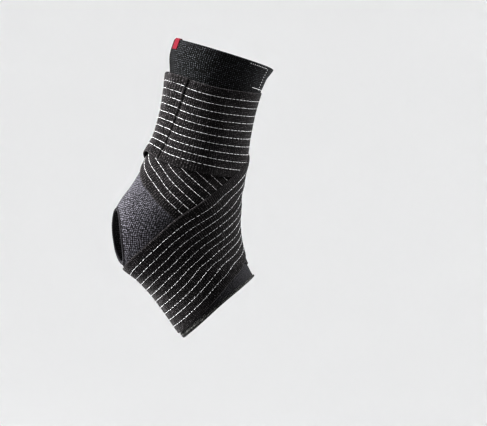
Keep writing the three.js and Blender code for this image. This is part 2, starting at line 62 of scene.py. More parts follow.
# Stations of the worn form, from the cuff's top edge round the heel to the foot opening. The x
# columns are shares of the leg's depth, the z columns of its height above the ankle or of the foot's
# drop below it, and half, lean and skew are shares of its width. The blunts are exponents.
STATION_COLUMNS = (
    "back_x", "back_z", "front_x", "front_z", "half", "back_blunt", "front_blunt", "lean", "skew",
)
STATIONS = (
    (-0.534, 1.0, 0.553, 0.95, 0.62, 2.1, 2.1, 0, 0),
    (-0.55, 0.89, 0.518, 0.85, 0.6, 2.1, 2.1, 0, 0),
    (-0.508, 0.78, 0.487, 0.752, 0.571, 2.1, 2.1, 0, 0),
    (-0.483, 0.661, 0.474, 0.65, 0.539, 2.1, 2.1, 0, 0),
    (-0.47, 0.543, 0.474, 0.539, 0.513, 2.1, 2.1, 0, 0),
    (-0.464, 0.425, 0.479, 0.421, 0.497, 2.1, 2.2, 0, 0),
    (-0.482, 0.307, 0.479, 0.303, 0.497, 2.1, 2.2, 0, 0),
    (-0.542, 0.197, 0.474, 0.189, 0.516, 2.1, 2.2, 0, 0),
    (-0.596, 0.087, 0.495, 0.083, 0.542, 2.1, 2.2, 0, 0),
    (-0.663, -0.033, 0.53, -0.02, 0.558, 2.2, 2.2, 0, 0),
    (-0.74, -0.139, 0.557, -0.111, 0.558, 2.3, 2.2, 0.02, 0),
    (-0.797, -0.254, 0.592, -0.184, 0.545, 2.4, 2.2, 0.03, 0),
    (-0.816, -0.377, 0.632, -0.246, 0.532, 2.4, 2.2, 0.05, 0),
    (-0.743, -0.492, 0.671, -0.295, 0.532, 2.4, 2.2, 0.065, 0),
    (-0.579, -0.574, 0.714, -0.34, 0.54, 2.4, 2.2, 0.08, 0),
    (-0.382, -0.631, 0.757, -0.377, 0.565, 2.4, 2.2, 0.1, 0.03),
    (-0.178, -0.713, 0.796, -0.408, 0.597, 2.4, 2.2, 0.11, 0.07),
    (-0.007, -0.807, 0.842, -0.438, 0.621, 2.4, 2.2, 0.13, 0.11),
    (0.151, -0.902, 0.888, -0.469, 0.637, 2.4, 2.2, 0.13, 0.145),
    (0.303, -0.997, 0.941, -0.5, 0.645, 2.4, 2.2, 0.13, 0.18),
)
# Rises and hollows of the form: station, angle, spread in stations and in degrees, and how high it
# stands as a share of the width.
SWELLS = (
    (9.1, 96, 1.5, 20, 0.045),
    (8.3, -100, 1.5, 20, 0.045),
    (8.2, 45, 2.2, 17, -0.045),
    (8.0, -45, 2.2, 17, -0.04),
)
# Centre lines of the straps, as (station, angle), from the sole to the free end.
OUTER_ROUTE = (
    (16.35, -4), (16.2, 22), (15.7, 50), (14.7, 78), (12.9, 106), (10.9, 133), (9.2, 164),
    (8.1, 197), (7.1, 233), (6.1, 270), (5.2, 308), (4.5, 343), (4.4, 370), (4.55, 396),
)
INNER_ROUTE = (
    (16.35, 4), (16.2, -22), (15.75, -50), (14.75, -79), (13.1, -110), (11.5, -146), (10.5, -180),
    (9.7, -208), (8.75, -238), (7.85, -267), (7.05, -293), (6.15, -321), (5.2, -350), (4.7, -378),
    (4.5, -410), (4.4, -450), (4.4, -500), (4.45, -545), (4.6, -590), (4.75, -635), (4.7, -668),
    (4.55, -692),
)
# One side of the heel opening's edge, as (station, angle), from its top to its bottom.
HEEL_EDGE = (
    (10.62, 0), (10.75, 13), (11.1, 23), (11.65, 31), (12.3, 34.5), (12.95, 33), (13.5, 25),
    (13.82, 12), (13.9, 0),
)
LAST_STATION = len(STATIONS) - 1


def smooth(value: Array) -> Array:
    """Return 0 below 0, 1 above 1 and a soft step between."""
    held = np.clip(value, 0, 1)
    return held * held * (3 - 2 * held)


def unit(vectors: Array) -> Array:
    """Return the vectors scaled to a length of one."""
    return vectors / np.maximum(np.linalg.norm(vectors, axis=-1, keepdims=True), 1e-12)


def along(values: Array, place: Array) -> Array:
    """Follow a smooth curve through rows of numbers, carried on straight past both ends.

    Args:
        values: One row for each whole step.
        place: Where to read the curve, in steps.

    Returns:
        The numbers at each place.
    """
    place = np.asarray(place, float)
    last = len(values) - 1
    inside = np.clip(place, 0, last)
    i = np.minimum(inside.astype(int), last - 1)
    f = (inside - i)[..., None]
    first_step, last_step = values[1] - values[0], values[last] - values[last - 1]
    padded = np.concatenate([[values[0] - first_step], values, [values[last] + last_step]])
    a, b, c, d = padded[i], padded[i + 1], padded[i + 2], padded[i + 3]
    bend = 2 * a - 5 * b + 4 * c - d
    twist = 3 * b - a - 3 * c + d
    curve = 0.5 * (2 * b + (c - a) * f + bend * f**2 + twist * f**3)
    before = np.minimum(place, 0)[..., None] * first_step
    after = np.maximum(place - last, 0)[..., None] * last_step
    return curve + before + after


def distances(points: Array) -> Array:
    """Return how far along a line each of its points lies."""
    return np.concatenate([[0], np.cumsum(np.linalg.norm(np.diff(points, axis=0), axis=1))])


@dataclass
class WornForm:
    """The form that the brace has when it is worn, which is the sleeve's inner face."""

    leg_height: float = 127.0
    foot_drop: float = 122.0
    leg_depth: float = 76.0
    leg_width: float = 62.0
    tiny_station: float = 0.01
    tiny_angle: float = 0.3
    walk_step: float = 2.6
    table: Array = field(init=False)

    def __post_init__(self) -> None:
        """Scale the table of shares to millimetres."""
        table = np.array(STATIONS, float)
        for name in ("back_z", "front_z"):
            k = STATION_COLUMNS.index(name)
            table[:, k] *= np.where(table[:, k] > 0, self.leg_height, self.foot_drop)
        for name, size in (
            ("back_x", self.leg_depth),
            ("front_x", self.leg_depth),
            ("half", self.leg_width),
            ("lean", self.leg_width),
            ("skew", self.leg_width),
        ):
            table[:, STATION_COLUMNS.index(name)] *= size
        self.table = table

    def swell(self, station: Array, angle: Array) -> Array:
        """Sum the rises and hollows of the form.

        Args:
            station: Stations of the places.
            angle: Angles of the places, in degrees.

        Returns:
            How far the form stands out there, in millimetres.
        """
        total = np.zeros(np.broadcast(station, angle).shape)
        for at_station, at_angle, stations, degrees, rise in SWELLS:
            turn = (angle - at_angle + 180) % 360 - 180
            reach = ((station - at_station) / stations) ** 2 + (turn / degrees) ** 2
            total += rise * self.leg_width * np.exp(-reach)
        return total

    def point(self, station: Array, angle: Array) -> Array:
        """Find points on the form.

        Args:
            station: Stations of the places.
            angle: Angles of the places: 0 at the back and sole, 90 at the outer side.

        Returns:
            The points, in millimetres.
        """
        station, angle = np.broadcast_arrays(np.asarray(station, float), np.asarray(angle, float))
        row = np.moveaxis(along(self.table, station), -1, 0)
        back_x, back_z, front_x, front_z, half, back_blunt, front_blunt, lean, skew = row
        c, s = np.cos(np.radians(angle)), np.sin(np.radians(angle))
        half_x, half_z = (front_x - back_x) / 2, (front_z - back_z) / 2
        depth = np.hypot(half_x, half_z)
        to_back = 0.5 + 0.5 * c
        blunt = front_blunt + (back_blunt - front_blunt) * to_back
        bulge = (np.abs(c) ** blunt + np.abs(s) ** blunt) ** (-1 / blunt)
        out = bulge + self.swell(station, angle) / np.hypot(depth * c, half * s)
        drawn = skew * s
        x = (front_x + back_x) / 2 - half_x * c * out - half_z / depth * drawn
        y = -half * s * out + lean * (1 - to_back)
        z = (front_z + back_z) / 2 - half_z * c * out + half_x / depth * drawn
        return np.stack([x, y, z], -1)

    def frame_at(self, station: Array, angle: Array) -> tuple[Array, Array, Array]:
        """Find the form's directions at places.

        Args:
            station: Stations of the places.
            angle: Angles of the places.

        Returns:
            The steps per station and per degree, and the outward normals.
        """
        ds, da = self.tiny_station, self.tiny_angle
        down = (self.point(station + ds, angle) - self.point(station - ds, angle)) / (2 * ds)
        turn = (self.point(station, angle + da) - self.point(station, angle - da)) / (2 * da)
        return down, turn, unit(np.cross(down, turn))

    def mm_per_station(self, station: float, angle: float = 90.0) -> float:
        """Give how far apart stations lie down the form at a place, in millimetres."""
        return float(np.linalg.norm(self.frame_at(np.array([station]), np.array([angle]))[0]))

    def raised(self, station: Array, angle: Array, height: Array) -> Array:
        """Find points at a height over the form.

        Args:
            station: Stations of the places.
            angle: Angles of the places.
            height: Heights over the form, in millimetres.

        Returns:
            The points.
        """
        normal = self.frame_at(station, angle)[2]
        return self.point(station, angle) + normal * np.asarray(height)[..., None]

    def fan(self, station: Array, angle: Array, aside: Array, offsets: Array) -> Array:
        """Walk straight over the form to both sides of a line.

        Args:
            station: Stations along the line.
            angle: Angles along the line.
            aside: Directions across the line.
            offsets: Distances from the line, in rising order.

        Returns:
            Station and angle of each place, with one row for each place of the line.
        """
        places = np.zeros((len(station), len(offsets), 2))
        for side in (1, -1):
            at, turn, heading, gone = station.copy(), angle.copy(), aside * side, 0.0
            ordered = [k for k in np.argsort(np.abs(offsets), kind="stable") if offsets[k] * side >= 0]
            for k in ordered:
                distance = abs(offsets[k]) - gone
                gone = abs(offsets[k])
                count = max(1, math.ceil(distance / self.walk_step))
                for _ in range(count if distance > 0 else 0):
                    down, round_, normal = self.frame_at(at, turn)
                    heading = unit(heading - normal * (heading * normal).sum(-1, keepdims=True))
                    dd, dr, rr = (down * down).sum(-1), (down * round_).sum(-1), (round_ * round_).sum(-1)
                    hd, hr = (heading * down).sum(-1), (heading * round_).sum(-1)
                    step = distance / count / (dd * rr - dr * dr)
                    at = at + (hd * rr - hr * dr) * step
                    turn = turn + (hr * dd - hd * dr) * step
                places[:, k, 0], places[:, k, 1] = at, turn
        return places


FORM = WornForm()


def linear(hex_colour: str) -> tuple[float, float, float, float]:
    """Turn an sRGB hex colour into linear RGBA."""
    parts = [int(hex_colour[k : k + 2], 16) / 255 for k in (1, 3, 5)]
    return (*[p / 12.92 if p <= 0.04045 else ((p + 0.055) / 1.055) ** 2.4 for p in parts], 1.0)


def add_node(tree: Tree, kind: str, settings: dict[str, Any] | None = None, **inputs: Any) -> Any:
    """Add a node with its settings and links.

    Args:
        tree: The material's node tree.
        kind: The node's type, without the words that all types start with.
        settings: Attributes of the node, such as its operation.
        inputs: Values or output sockets for its inputs. An underscore stands for a space in a name,
            and in1 is the second input.

    Returns:
        The node.
    """
    node = tree.nodes.new("ShaderNode" + kind)
    for name, value in (settings or {}).items():
        setattr(node, name, value)
    for name, value in inputs.items():
        numbered = name.startswith("in") and name[2:].isdigit()
        socket = node.inputs[int(name[2:])] if numbered else node.inputs[name.replace("_", " ")]
        if isinstance(value, Socket):
            tree.links.new(value, socket)
        else:
            socket.default_value = value
    return node


@dataclass(frozen=True)
class Finish:
    """A cloth finish: dark and light yarn, mixed by a pattern that a kind of cloth gives."""

    name: str
    slot: str
    dark: str
    light: str
    roughness: float
    sheen: float
    relief_mm: float
    contrast: float = 1.0
    gloss: ClassVar[float] = 0.05
    sheen_roughness: ClassVar[float] = 0.4
    fibre_ior: ClassVar[float] = 1.53
    bump: ClassVar[float] = 0.9

    def material(self) -> bpy.types.Material:
        """Make the finish's material, once."""
        known = bpy.data.materials.get(self.name)
        if known:
            return known
        made = bpy.data.materials.new(self.name)
        made.use_nodes = True
        tree = made.node_tree
        tree.nodes.clear()
        mix, height = self.pattern(tree)
        yarns = {"in6": linear(self.dark), "in7": linear(self.light)}
        colour = add_node(tree, "Mix", {"data_type": "RGBA"}, in0=mix, **yarns)
        bump = add_node(tree, "Bump", Strength=self.bump, Distance=self.relief_mm * MM, Height=height)
        shader = add_node(
            tree,
            "BsdfPrincipled",
            Base_Color=colour.outputs[2],
            Roughness=self.roughness,
            Normal=bump.outputs[0],
            Sheen_Weight=self.sheen,
            Sheen_Roughness=self.sheen_roughness,
            Specular_IOR_Level=self.gloss,
            IOR=self.fibre_ior,
        )
        add_node(tree, "OutputMaterial", Surface=shader.outputs[0])
        return made

    def pattern(self, tree: Tree) -> tuple[Socket, Socket]:
        """Give how light the yarn is and how high the cloth stands at each place."""
        raise NotImplementedError

    def cloth_axes(self, tree: Tree) -> tuple[Socket, Socket, Socket]:
        """Give the place on the flat cloth in millimetres, and its parts across and down the cloth."""
        place = add_node(tree, "UVMap", {"uv_map": "cloth"}).outputs[0]
        parts = add_node(tree, "SeparateXYZ", Vector=place)
        return place, parts.outputs[0], parts.outputs[1]

    def noise(self, tree: Tree, place: Socket, size_mm: float) -> Socket:
        """Give soft random spots of a size."""
        flat = {"noise_dimensions": "2D"}
        return add_node(tree, "TexNoise", flat, Vector=place, Scale=1 / size_mm, Detail=1.0).outputs[0]

    def spots(self, tree: Tree, place: Socket, kind: Triple) -> Socket:
        """Give random spots of a kind: their size, and the limits that are stretched to 0 and 1."""
        size_mm, low, high = kind
        return self.ramp(tree, self.noise(tree, place, size_mm), low, high)

    def ramp(self, tree: Tree, value: Socket, low: float, high: float, least: float = 0.0) -> Socket:
        """Stretch the part of a value between two limits to 0, or the least value, and 1."""
        soft = {"interpolation_type": "SMOOTHSTEP"}
        return add_node(tree, "MapRange", soft, in0=value, in1=low, in2=high, in3=least, in4=1.0).outputs[0]

    def combine(self, tree: Tree, operation: str, a: Any, b: Any) -> Socket:
        """Join two values by an operation."""
        return add_node(tree, "Math", {"operation": operation}, in0=a, in1=b).outputs[0]

    def product(self, tree: Tree, first: Socket, *others: Any) -> Socket:
        """Multiply values one after another."""
        for other in others:
            first = self.combine(tree, "MULTIPLY", first, other)
        return first

    def wave(self, tree: Tree, value: Socket, pitch_mm: float) -> Socket:
        """Give a wave from 0 to 1 along one direction of the cloth."""
        turn = self.product(tree, value, 2 * math.pi / pitch_mm)
        return self.ramp(tree, self.combine(tree, "SINE", turn, 0.0), -1.0, 1.0)


@dataclass(frozen=True)
class MeshKnit(Finish):
    """Nylon mesh knit with a pale thread in it: bright specks in rows on dark grey cells."""

    # The loops of such a knit lie 1 to 1.4 mm apart, and are drawn at the coarser end so that they show.
    # The spots' numbers are their size in millimetres and the limits stretched to 0 and 1.
    pitch_mm: float = 1.4
    # Painted shade: near the foot edge the specks dim to the least share, though the knit is the same
    # there.
    foot_edge_mm: float = 177.0
    foot_shade_mm: float = 20.0
    foot_shade_share: float = 0.45
    unevenness: ClassVar[float] = 0.25
    dot_limits: ClassVar[Pair] = (0.62, 0.1)
    fine: ClassVar[Triple] = (1.3, 0.2, 0.75)
    patches: ClassVar[Triple] = (14.0, -0.6, 0.6)

    def pattern(self, tree: Tree) -> tuple[Socket, Socket]:
        """Give pale loops on a honeycomb grid, thinned by soft patches, with painted shade at the foot
        edge.
        """
        place, _, down = self.cloth_axes(tree)
        # Painted shade near the foot edge, on the outer and the inner face alike.
        beyond = self.combine(tree, "SUBTRACT", down, self.foot_edge_mm)
        from_edge = self.combine(tree, "ABSOLUTE", beyond, 0.0)
        foot_shade = self.ramp(tree, from_edge, self.foot_shade_mm, 2 * self.foot_shade_mm, self.foot_shade_share)
        cells = add_node(
            tree,
            "TexVoronoi",
            {"voronoi_dimensions": "2D", "feature": "F1"},
            Vector=place,
            Scale=1 / self.pitch_mm,
            Randomness=self.unevenness,
        )
        dots = self.ramp(tree, cells.outputs[0], *self.dot_limits)
        fine = self.spots(tree, place, self.fine)
        patches = self.spots(tree, place, self.patches)
        return self.product(tree, dots, fine, patches, self.contrast, foot_shade), dots


@dataclass(frozen=True)
class RibKnit(Finish):
    """Fine rib knit: vertical ribs with a faint pale speck on their crests."""

    # Real ribs lie about 1 mm apart, too fine to show, so they are drawn at 1.7 mm.
    pitch_mm: float = 1.7
    loop_share: ClassVar[float] = 0.9
    fine: ClassVar[Triple] = (0.9, 0.42, 0.7)

    def pattern(self, tree: Tree) -> tuple[Socket, Socket]:
        """Give ribs along the leg, broken by the knit's loops."""
        place, across, down = self.cloth_axes(tree)
        ribs = self.wave(tree, across, self.pitch_mm)
        loops = self.wave(tree, down, self.pitch_mm * self.loop_share)
        fine = self.spots(tree, place, self.fine)
        knit = self.product(tree, ribs, loops)
        return self.product(tree, knit, fine, self.contrast), knit


@dataclass(frozen=True)
class Webbing(Finish):
    """Woven elastic: fine ribs across it where the weft turns over the rubber, and a paler selvage."""

    # Such elastic has ribs 1.2 to 1.7 mm apart and a warp of 0.6 mm, both drawn as coarse as they need to
    # show.
    rib_mm: float = 1.7
    warp_mm: float = 1.33
    half_width_mm: float = 37.5
    selvage_mm: ClassVar[Pair] = (1.3, 0.5)
    selvage_light: ClassVar[float] = 0.05
    fine: ClassVar[Triple] = (1.0, 0.42, 0.72)

    def pattern(self, tree: Tree) -> tuple[Socket, Socket]:
        """Give cross ribs cut by the warp, with a pale selvage thread."""
        place, across, down = self.cloth_axes(tree)
        ribs = self.wave(tree, down, self.rib_mm)
        warp = self.wave(tree, across, self.warp_mm)
        fine = self.spots(tree, place, self.fine)
        weave = self.product(tree, ribs, warp)
        strong = self.product(tree, weave, fine, self.contrast)
        aside = self.combine(tree, "ABSOLUTE", across, 0.0)
        edge = self.ramp(tree, aside, *[self.half_width_mm - inset for inset in self.selvage_mm])
        selvage = self.product(tree, edge, self.selvage_light)
        return self.combine(tree, "MAXIMUM", strong, selvage), weave


@dataclass(frozen=True)
class Yarn(Finish):
    """Overlocked or sewn yarn: fine twist with a soft fuzz."""

    # The yarn's twist is 0.4 to 0.7 mm long, and is drawn at the coarser end so that it shows.
    twist_mm: float = 0.7
    fuzz_mm: ClassVar[float] = 0.5

    def pattern(self, tree: Tree) -> tuple[Socket, Socket]:
        """Give the yarn's twist."""
        place, across, down = self.cloth_axes(tree)
        twist = self.wave(tree, self.combine(tree, "ADD", across, down), self.twist_mm)
        fuzz = self.noise(tree, place, self.fuzz_mm)
        return self.product(tree, twist, fuzz, self.contrast), twist


class Cloth(Enum):
    """The finishes of the brace, each named for the real cloth and how it was made.

    Each gives its name, its slot, its dark and its light yarn, its roughness, its sheen, its relief in
    millimetres, its contrast and, where it isn't the usual one, its pitch.
    """

    # Circular-knitted nylon mesh with a pale thread: specks in honeycomb rows, a cool cast.
    # Its specks dim near the foot edge: painted shade, not a change in the knit.
    MESH = MeshKnit("nylon_mesh_knit", "mesh_knit", "#0b0b0c", "#86848c", 0.92, 0.03, 0.28, 0.42)
    # The same yarn knitted as a tight rib: nearly black with faint bluish crests.
    RIB = RibKnit("nylon_rib_knit", "rib_knit", "#050505", "#65676b", 0.92, 0.03, 0.2, 0.6)
    # Doubled edge of the same knit, overlocked: black with salt-and-pepper specks.
    HEM = MeshKnit("nylon_double_edge_knit", "hem_knit", "#070707", "#8d8d8a", 0.92, 0.03, 0.25, 0.4, 1.5)
    # Woven polyester elastic: matt black with a fine rib and a paler edge thread.
    ELASTIC = Webbing(
        "woven_polyester_elastic", "striped_elastic", "#070606", "#676365", 0.9, 0.04, 0.22, 0.6
    )
    # Bright polyester sewing thread: white, slightly glossy.
    THREAD = Yarn(
        "white_polyester_thread", "striped_elastic", "#9c9c9d", "#dededf", 0.6, 0.0, 0.05, 1.0, 0.6
    )
    # Textured overlock yarn: black, soft.
    OVERLOCK = Yarn("black_overlock_yarn", "overlock_yarn", "#0d0c0e", "#323135", 0.92, 0.07, 0.12, 0.8)
    # Moulded nylon hook tape: black, with a dull gloss.
    HOOK = Yarn("nylon_hook_tape", "hook_tape", "#0e0e0f", "#2b2b2d", 0.6, 0.0, 0.3, 0.8, 1.2)
    # Woven polyester satin tape, dyed red: fine weave with a soft gloss.
    RED = Yarn("red_woven_polyester_tape", "red_woven_tape", "#3f0712", "#641825", 0.6, 0.02, 0.1, 0.7, 0.8)


def make_piece(name: str, points: Array, faces: Sequence[Any], places: Array, cloth: Cloth) -> Object:
    """Make a piece of the brace, riding on its body.

    Args:
        name: The piece's name.
        points: Its points, in millimetres.
        faces: Its faces, as rows of point numbers, or lists of such rows.
        places: The place on the flat cloth of each corner of each face, in millimetres.
        cloth: Its finish.

    Returns:
        The object.
    """
    mesh = bpy.data.meshes.new(name)
    rows = [np.asarray(block, int) for block in faces]
    sizes = np.concatenate([np.full(len(block), block.shape[1]) for block in rows])
    corners = np.concatenate([block.ravel() for block in rows])
    mesh.vertices.add(len(points))
    mesh.vertices.foreach_set("co", (np.asarray(points) * MM).astype(np.float32).ravel())
    mesh.loops.add(len(corners))
    mesh.loops.foreach_set("vertex_index", corners.astype(np.int32))
    mesh.polygons.add(len(sizes))
    mesh.polygons.foreach_set("loop_start", np.concatenate([[0], np.cumsum(sizes)[:-1]]).astype(np.int32))
    mesh.polygons.foreach_set("use_smooth", np.ones(len(sizes), bool))
    mesh.update(calc_edges=True)
    uv = mesh.uv_layers.new(name="cloth")
    uv.data.foreach_set("uv", np.asarray(places, np.float32).ravel())
    mesh.validate()
    mesh.materials.append(cloth.value.material())
    piece = bpy.data.objects.new(name, mesh)
    bpy.context.scene.collection.objects.link(piece)
    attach(piece, BODY)
    return piece


@dataclass
class Lattice:
    """Points in rows and columns that close up into a surface.

    The columns always close up into a ring. The rows close up too where looped is set, and
    otherwise the two end rows are capped across, from each column to the one facing it.
    """

    points: Array
    across: Array
    along: Array
    looped: bool = False
    across_end: Array | None = None
    along_end: Array | None = None

    @classmethod
    def two_faced(cls, top: Array, under: Array, across: Array, down: Array) -> "Lattice":
        """Join the two faces of a flat strip.

        Args:
            top: Points of the outer face, in rows and columns.
            under: Points of the inner face.
            across: Places of the columns on the flat cloth.
            down: Places of the rows on the flat cloth.

        Returns:
            The strip, closed along both edges.
        """
        flat = np.broadcast_to(across, top.shape[:2])
        both = np.concatenate([flat, flat[:, ::-1]], 1)
        points = np.concatenate([top, under[:, ::-1]], 1)
        return cls(points, both, np.broadcast_to(down[:, None], both.shape))

    def piece(self, name: str, node: str, cloth: "Cloth") -> Object:
        """Make a piece of the lattice and put it in place of its plain solid.

        Args:
            name: The piece's name.
            node: The plain solid that it stands for.
            cloth: Its finish.

        Returns:
            The object.
        """
        blocks, places = self.faces()
        made = make_piece(name, self.points.reshape(-1, 3), blocks, places, cloth)
        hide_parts(node)
        return made

    def faces(self) -> tuple[list[Array], Array]:
        """Work out the faces and the cloth place of each of their corners.

        Returns:
            Blocks of faces, and places in the order of their corners.
        """
        rows, columns = self.points.shape[:2]
        last = rows if self.looped else rows - 1
        i, j = np.meshgrid(np.arange(last), np.arange(columns), indexing="ij")
        i, j = i.ravel(), j.ravel()
        corners = ((i, j), (i + 1, j), (i + 1, j + 1), (i, j + 1))
        quads = np.stack([(a % rows) * columns + b % columns for a, b in corners], -1)
        across_end = self.across[:, 0] if self.across_end is None else self.across_end
        along_end = self.along[:, 0] if self.along_end is None else self.along_end
        across = np.column_stack([self.across, across_end])
        along_ = np.column_stack([self.along, along_end])
        if self.looped:
            across, along_ = np.vstack([across, across[:1]]), np.vstack([along_, along_[:1]])
        places = np.stack([np.stack([across[a, b], along_[a, b]], -1) for a, b in corners], 1)
        blocks, corner_places = [quads], [places.reshape(-1, 2)]
        if not self.looped:
            for row, turned in ((0, False), (rows - 1, True)):
                k = np.arange(columns // 2 - 1)
                cap = np.stack([k, k + 1, columns - 2 - k, columns - 1 - k], -1)
                cap = cap[:, ::-1] if turned else cap
                blocks.append(cap + row * columns)
                ends = np.stack([self.across[row, cap], self.along[row, cap]], -1)
                corner_places.append(ends.reshape(-1, 2))
        return blocks, np.concatenate(corner_places)


@dataclass
class KnitTube:
    """A tube of knit round the form, built as a closed profile carried round it."""

    name: str
    node: str
    cloth: Cloth
    start: float
    end: float
    wall: float
    rows: int
    inner_rows: int
    columns: int
    edge: float = 0.5
    rib_height: float = 0.0
    rib_pitch: float = 1.7
    flat_round: float = 235.0
    edge_heights: ClassVar[Pair] = (0.3, 0.8)
    edge_inset: ClassVar[float] = 0.25
    edge_relief: ClassVar[float] = 0.6

    def profile(self) -> tuple[Array, Array, Array]:
        """Work out the wall's closed profile.

        Returns:
            Stations, heights over the form, and how much of the knit's relief each point takes.
        """
        tip = self.edge / FORM.mm_per_station(self.start)
        tail = self.edge / FORM.mm_per_station(self.end)
        outer = np.linspace(self.start + tip, self.end - tail, self.rows)
        inner = np.linspace(self.end - tail, self.start + tip, self.inner_rows)
        low, high = (self.wall * share for share in self.edge_heights)
        near, far = self.start + tip * self.edge_inset, self.end - tail * self.edge_inset
        bare = np.zeros(self.inner_rows)
        station = np.concatenate([[self.start, near], outer, [far, self.end], inner])
        height = np.concatenate([[low, high], np.full(self.rows, self.wall), [high, low], bare])
        relief = np.concatenate([[0, self.edge_relief], np.ones(self.rows), [self.edge_relief, 0], bare])
        return station, height, relief

    def extra(self, station: Array, angle: Array) -> Array:
        """Give how far the wall stands out from its plain place."""
        return np.zeros(np.broadcast(station, angle).shape)

    def lattice(self) -> Lattice:
        """Work out the tube's points.

        Returns:
            The closed lattice, one row for each point of the profile.
        """
        station, height, relief = self.profile()
        angle = np.arange(self.columns) * 360 / self.columns - 90
        ribs = round(self.flat_round / self.rib_pitch)
        wave = 0.5 + 0.5 * np.cos(np.radians(angle) * ribs)
        station, angle = np.meshgrid(station, angle, indexing="ij")
        lift = height[:, None] + relief[:, None] * (wave - 1)[None] * self.rib_height
        points = FORM.raised(station, angle, lift + self.extra(station, angle))
        side = distances(FORM.point(station[:, 0], np.full(len(station), 90.0)))
        across = (angle + 90) / 360 * self.flat_round
        down = np.broadcast_to(side[:, None], angle.shape)
        return Lattice(points, across, down, True, np.full(len(down), self.flat_round), down[:, 0])

    def build(self) -> Object:
        """Make the tube and put it in place of its plain solid."""
        return self.lattice().piece(self.name, self.node, self.cloth)


@dataclass
class Cuff(KnitTube):
    """The plain rib-knit top, with a lip that stands out at its front corner."""

    lip_reach: float = 2.4
    lip_depth: float = 12.0
    lip_half_angle: float = 34.0
    lip_angle: float = 172.0

    def extra(self, station: Array, angle: Array) -> Array:
        """Give how far the lip stands out."""
        top = FORM.point(np.zeros_like(station), angle)
        from_top = np.linalg.norm(top - FORM.point(station, angle), axis=-1)
        turn = np.abs((angle - self.lip_angle + 180) % 360 - 180) / self.lip_half_angle
        return self.lip_reach * smooth(1 - from_top / self.lip_depth) * smooth(1 - turn)


@dataclass
class HeelOpening:
    """The edge of the heel opening, as a closed line on the form."""

    count: int = 512

    def edge(self) -> Array:
        """Work out the edge line.

        Returns:
            Station and angle of each place round the opening.
        """
        side = np.array(HEEL_EDGE, float)
        back = side[-2:0:-1] * (1, -1)
        loop = np.concatenate([side, back])
        closed = np.concatenate([loop[-2:], loop, loop[:3]])
        return along(closed, 2 + np.arange(self.count) * len(loop) / self.count)

    def holds(self, places: Array) -> Array:
        """Tell which places lie inside the opening.

        Args:
            places: Station and angle of each place, the angle from -180 to 180.

        Returns:
            True for each place inside.
        """
        line = self.edge()
        ahead = np.roll(line, -1, axis=0)
        inside = np.zeros(len(places), bool)
        x, y = places[:, 0], places[:, 1]
        for (x0, y0), (x1, y1) in zip(line, ahead):
            if y0 == y1:
                continue
            crosses = (y0 > y) != (y1 > y)
            inside ^= crosses & (x < (x1 - x0) * (y - y0) / (y1 - y0) + x0)
        return inside


@dataclass
class Sleeve(KnitTube):
    """The hollow mesh-knit sleeve, open at the back of the heel."""

    opening: HeelOpening = field(default_factory=HeelOpening)
    opening_stations: Pair = (10.0, 14.5)
    opening_half_angle: float = 60.0

    def build(self) -> Object:
        """Make the sleeve with its heel opening and put it in place of its plain solid."""
        station, height, _ = self.profile()
        angle = np.arange(self.columns) * 360 / self.columns - 90
        grid_station, grid_angle = (g.copy() for g in np.meshgrid(station, angle, indexing="ij"))
        lattice = self.lattice()
        blocks, places = lattice.faces()
        quads = blocks[0]
        flat = np.stack([grid_station.ravel(), (grid_angle.ravel() + 180) % 360 - 180], -1)
        middle = flat[quads].mean(1)
        near = np.ptp(flat[quads][:, :, 1], axis=1) < 180
        cut = np.zeros(len(quads), bool)
        first, last = self.opening_stations
        close = near & (middle[:, 0] > first) & (middle[:, 0] < last)
        close &= np.abs(middle[:, 1]) < self.opening_half_angle
        cut[close] = self.opening.holds(middle[close])
        rim = np.intersect1d(np.unique(quads[cut]), np.unique(quads[~cut]))
        line = self.opening.edge()
        line_points = FORM.point(line[:, 0], line[:, 1])
        rim_points = FORM.point(flat[rim, 0], flat[rim, 1])
        nearest = np.linalg.norm(rim_points[:, None] - line_points[None], axis=2).argmin(1)
        heights = np.repeat(height, self.columns)
        points = lattice.points.reshape(-1, 3)
        points[rim] = FORM.raised(line[nearest, 0], line[nearest, 1], heights[rim])
        kept = quads[~cut]
        rim_faces = self.rim(kept, len(points))
        cloth_places = np.stack([lattice.across.ravel(), lattice.along.ravel()], -1)
        outside = places.reshape(-1, 4, 2)[~cut].reshape(-1, 2)
        kept_places = np.concatenate([outside, cloth_places[rim_faces.ravel()]])
        used, packed = np.unique(np.concatenate([kept, rim_faces]), return_inverse=True)
        piece = make_piece(self.name, points[used], [packed.reshape(-1, 4)], kept_places, self.cloth)
        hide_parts(self.node)
        return piece

    def rim(self, kept: Array, count: int) -> Array:
        """Join the outer and the inner layer round the opening.

        Args:
            kept: The faces left after the opening is cut, as rows of point numbers.
            count: How many points there are.

        Returns:
            The rim's faces.
        """
        ahead = np.roll(kept, -1, axis=1)
        forward = (kept * count + ahead).ravel()
        backward = (ahead * count + kept).ravel()
        bare = ~np.isin(forward, backward)
        start, end = kept.ravel()[bare], ahead.ravel()[bare]
        outer = start // self.columns < self.rows + 2
        start, end = start[outer], end[outer]
        inner_start, inner_end = (self.facing(points) for points in (start, end))
        return np.stack([end, start, inner_start, inner_end], -1)

    def facing(self, points: Array) -> Array:
        """Give the inner points that face these outer ones."""
        return (2 * self.rows + 5 - points // self.columns) * self.columns + points % self.columns


